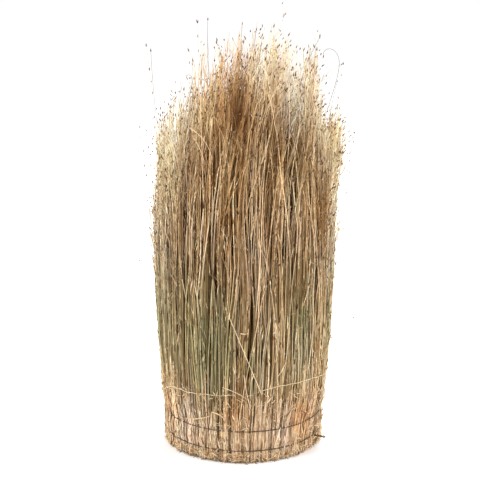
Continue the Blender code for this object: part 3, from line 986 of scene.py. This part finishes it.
def skin_strays(material):
    """The stray stems and blades that lie on the front."""
    count = 22
    lines, radii, tones = [], [], []
    for x, z, lead, turn, length, radius, pale in SKIN_STRAYS:
        sideways, upright = arc(lead, turn, 1, length, count)
        x, z = x + sideways, z + upright
        lift = 0.0035 * np.sin(np.linspace(0, math.pi, count)) + radius
        y = -np.sqrt((knots(OUTER_RADIUS, z) + lift) ** 2 - (x - LEAN * z) ** 2)
        lines.append(np.stack([x, y, z], -1))
        radii.append(radius * np.linspace(1.0, 0.7, count))
        tones.append(dry_tones(np.full(count, pale)) * rng.uniform(0.85, 1.05, (count, 1)))
    lines = np.array(lines)
    reference = outward(lines[:, 0])
    piece = strands("skin_strays", lines, np.array(radii), np.array(tones), 4, reference, 1, 0.6)
    return dress(piece, material, "reed_straw")


def clear_hairs(stem_material, seed_material):
    """The hairs that stand clear, each with a spikelet at its end."""
    count = 44
    lines, radii = [], []
    for x, y, z, lead, turn, late, length, radius in CLEAR_HAIRS:
        sideways, upright = arc(lead, turn, late, length, count)
        lines.append(np.stack([x + sideways, np.full(count, y), z + upright], -1))
        radii.append(radius * np.linspace(1.2, 0.8, count))
    lines, radii = np.array(lines), np.array(radii)
    n = len(lines)
    tones = np.full((n, count, 3), SHADOW_AND_HAIR_GREY)
    reference = np.tile([0.0, 1.0, 0.0], (n, 1))
    dress(strands("clear_hairs", lines, radii, tones, 4, reference), stem_material, "reed_straw")
    way = unit(lines[:, -1] - lines[:, -2])
    dark = blend(np.array(CHESTNUT), RUST, rng.random(n) * 0.7)
    length, width = rng.uniform(0.005, 0.008, n), rng.uniform(0.0008, 0.0012, n)
    piece = spindles("clear_spikelets", lines[:, -1], way, length, width, dark, 2)
    return dress(piece, seed_material, "reed_ochre")


def shader_nodes(name):
    material = bpy.data.materials.new(name)
    material.use_nodes = True
    tree = material.node_tree
    return material, tree, tree.nodes["Principled BSDF"]


def stretched_noise(tree, scale, detail):
    """Noise in the object's own coordinates, stretched along the reeds."""
    place = tree.nodes.new("ShaderNodeTexCoord")
    mapping = tree.nodes.new("ShaderNodeMapping")
    mapping.inputs["Scale"].default_value = scale
    tree.links.new(place.outputs["Object"], mapping.inputs["Vector"])
    noise = tree.nodes.new("ShaderNodeTexNoise")
    noise.inputs["Scale"].default_value = 1.0
    noise.inputs["Detail"].default_value = detail
    tree.links.new(mapping.outputs["Vector"], noise.inputs["Vector"])
    return noise.outputs["Fac"]


def ramp(tree, value, stops):
    """A colour ramp over a value."""
    node = tree.nodes.new("ShaderNodeValToRGB")
    band = node.color_ramp
    while len(band.elements) < len(stops):
        band.elements.new(0.5)
    for element, (place, colour) in zip(band.elements, stops):
        element.position = place
        element.color = (*colour, 1.0)
    tree.links.new(value, node.inputs["Fac"])
    return node.outputs["Color"]


def mixed(tree, kind, factor, a, b):
    """A colour mix. factor, a and b are sockets, or plain values."""
    node = tree.nodes.new("ShaderNodeMix")
    node.data_type = "RGBA"
    node.blend_type = kind
    sockets = {s.identifier: s for s in node.inputs}
    for key, value in (("Factor_Float", factor), ("A_Color", a), ("B_Color", b)):
        if isinstance(value, bpy.types.NodeSocket):
            tree.links.new(value, sockets[key])
        else:
            sockets[key].default_value = value
    return next(s for s in node.outputs if s.identifier == "Result_Color")


def grey(value):
    return (value, value, value)


def dry_material(name, contrast, spots, roughness, ribs):
    """Dry plant: the strand's own tint, with streaks along it, brown spots and fine ribs."""
    material, tree, shader = shader_nodes(name)
    tint = tree.nodes.new("ShaderNodeAttribute")
    tint.attribute_name = "tint"
    streak = ramp(
        tree,
        stretched_noise(tree, (420.0, 420.0, 55.0), 3.0),
        ((0.30, grey(1 - contrast)), (0.70, grey(1 + contrast))),
    )
    colour = mixed(tree, "MULTIPLY", 1.0, tint.outputs["Color"], streak)
    spot = ramp(
        tree,
        stretched_noise(tree, (520.0, 520.0, 190.0), 2.0),
        ((0.58, grey(0.0)), (0.70, grey(spots))),
    )
    colour = mixed(tree, "MIX", spot, colour, (*RUST, 1.0))
    tree.links.new(colour, shader.inputs["Base Color"])
    rough = ramp(
        tree,
        stretched_noise(tree, (240.0, 240.0, 30.0), 2.0),
        ((0.3, grey(roughness[0])), (0.7, grey(roughness[1]))),
    )
    tree.links.new(rough, shader.inputs["Roughness"])
    shader.inputs["Specular IOR Level"].default_value = 0.04
    bumps = tree.nodes.new("ShaderNodeBump")
    bumps.inputs["Strength"].default_value = ribs
    bumps.inputs["Distance"].default_value = 0.0003
    fine = stretched_noise(tree, (2600.0, 2600.0, 60.0), 1.0)
    tree.links.new(fine, bumps.inputs["Height"])
    tree.links.new(bumps.outputs["Normal"], shader.inputs["Normal"])
    return material


def wire_material():
    """Dark iron wire with rust on it."""
    material, tree, shader = shader_nodes("rusty_wire")
    rust = stretched_noise(tree, (420.0, 420.0, 420.0), 4.0)
    colour = ramp(
        tree,
        rust,
        ((0.35, (0.052, 0.032, 0.016)), (0.55, (0.085, 0.048, 0.019)), (0.72, (0.17, 0.085, 0.029))),
    )
    tree.links.new(colour, shader.inputs["Base Color"])
    shine = ramp(tree, rust, ((0.40, grey(0.35)), (0.60, grey(0.05))))
    tree.links.new(shine, shader.inputs["Metallic"])
    rough = ramp(tree, rust, ((0.35, grey(0.38)), (0.70, grey(0.85))))
    tree.links.new(rough, shader.inputs["Roughness"])
    bumps = tree.nodes.new("ShaderNodeBump")
    bumps.inputs["Strength"].default_value = 0.4
    bumps.inputs["Distance"].default_value = 0.0002
    tree.links.new(rust, bumps.inputs["Height"])
    tree.links.new(bumps.outputs["Normal"], shader.inputs["Normal"])
    return material


def make_camera():
    data = bpy.data.cameras.new("camera")
    data.lens = CAMERA_LENS
    data.sensor_width = 36.0
    data.clip_start, data.clip_end = 0.05, 60.0
    camera = bpy.data.objects.new("camera", data)
    camera.location = (0.0, -CAMERA_DISTANCE, CAMERA_HEIGHT)
    camera.rotation_euler = (math.pi / 2 - CAMERA_PITCH, 0.0, CAMERA_TURN)
    bpy.context.scene.collection.objects.link(camera)
    bpy.context.scene.camera = camera


def area_light(name, place, size, power, colour=(1.0, 1.0, 1.0)):
    data = bpy.data.lights.new(name, "AREA")
    data.shape = "DISK"
    data.size = size
    data.energy = power
    data.color = colour
    light = bpy.data.objects.new(name, data)
    light.location = place
    target = Vector((0.0, 0.0, 0.33))
    light.rotation_euler = (target - Vector(place)).to_track_quat("-Z", "Y").to_euler()
    bpy.context.scene.collection.objects.link(light)


def make_studio():
    """A white floor, an even white surround and soft lamps."""
    scene = bpy.context.scene
    world = bpy.data.worlds.new("studio")
    world.use_nodes = True
    world.node_tree.nodes["Background"].inputs["Color"].default_value = (1.0, 1.0, 1.0, 1.0)
    world.node_tree.nodes["Background"].inputs["Strength"].default_value = 1.04
    scene.world = world
    scene.view_settings.view_transform = "Standard"

    mesh = bpy.data.meshes.new("floor")
    reach = 30.0
    corners = [(-reach, -reach, 0), (reach, -reach, 0), (reach, reach, 0), (-reach, reach, 0)]
    mesh.from_pydata(corners, [], [(0, 1, 2, 3)])
    floor = bpy.data.objects.new("floor", mesh)
    material, tree, shader = shader_nodes("pale_floor")
    shader.inputs["Base Color"].default_value = (0.96, 0.96, 0.96, 1.0)
    shader.inputs["Roughness"].default_value = 0.9
    mesh.materials.append(material)
    scene.collection.objects.link(floor)

    area_light("left", (-2.3, -1.1, 1.5), 0.9, 42.0, (1.0, 0.985, 0.96))
    area_light("right", (2.3, -0.9, 1.3), 0.9, 30.0, (1.0, 0.985, 0.96))
    area_light("back", (0.2, 1.7, 2.6), 1.2, 80.0)


def main():
    make_camera()
    make_studio()
    reed = dry_material("dry_reed", 0.20, 0.60, (0.50, 0.75), 0.35)
    husk = dry_material("dry_husk", 0.28, 0.50, (0.60, 0.85), 0.50)
    twig = dry_material("dry_twig", 0.15, 0.30, (0.60, 0.80), 0.10)

    outer = []
    for k in range(HANDFULS // HANDFULS_PER_PIECE):
        first = k * HANDFULS_PER_PIECE
        reeds = outer_reeds(first, HANDFULS_PER_PIECE)
        outer.append(reeds)
        nodes = [f"outer_reeds_{first + i + 1:02d}" for i in range(HANDFULS_PER_PIECE)]
        dress(reed_strands(f"outer_stems_{k + 1}", reeds, FOOT_KNOTS, 8, 4), reed, "reed_straw", *nodes)
        ends, ways = twigs(f"outer_twigs_{k + 1}", reeds, 4, twig)
        spikelets(f"outer_spikelets_{k + 1}", ends, ways, 0.27, reeds, 300, husk)
        sheaths(f"outer_sheaths_{k + 1}", reeds, 2, 800, husk)
        flecks(f"outer_flecks_{k + 1}", reeds, 1200, husk)

    ring = inner_reeds(1080, 0.78, 0.945)
    nodes = [f"inner_reeds_{i + 1}" for i in range(INNER_HANDFULS)]
    dress(reed_strands("inner_stems_ring", ring, INNER_KNOTS, 7, 3), reed, "reed_straw", *nodes)
    ends, ways = twigs("inner_twigs_ring", ring, 4, twig)
    spikelets("inner_spikelets_ring", ends, ways, 0.28, ring, 200, husk)
    core = inner_reeds(1500, 0.0, 0.78)
    dress(reed_strands("inner_stems_middle", core, INNER_KNOTS, 5, 3), reed, "reed_straw", "middle_reeds")
    ends, ways = twigs("inner_twigs_middle", core, 3, twig)
    spikelets("inner_spikelets_middle", ends, ways, 0.30, core, 200, husk)

    skin = together(outer)
    leaf_bases(skin, 1000, husk)
    foot_fibres(skin, 3600, husk)
    edge_fuzz(skin, 2600, twig)
    pale_strand(twig)
    for i, (seam, leave, tip) in enumerate(LOOSE_REEDS):
        loose_reed(i + 1, seam, leave, tip, reed, husk)
    skin_strays(reed)
    clear_hairs(twig, husk)

    wire = wire_material()
    for name in ("lower_wire", "upper_wire"):
        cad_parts[name].data.materials[0] = wire


main()
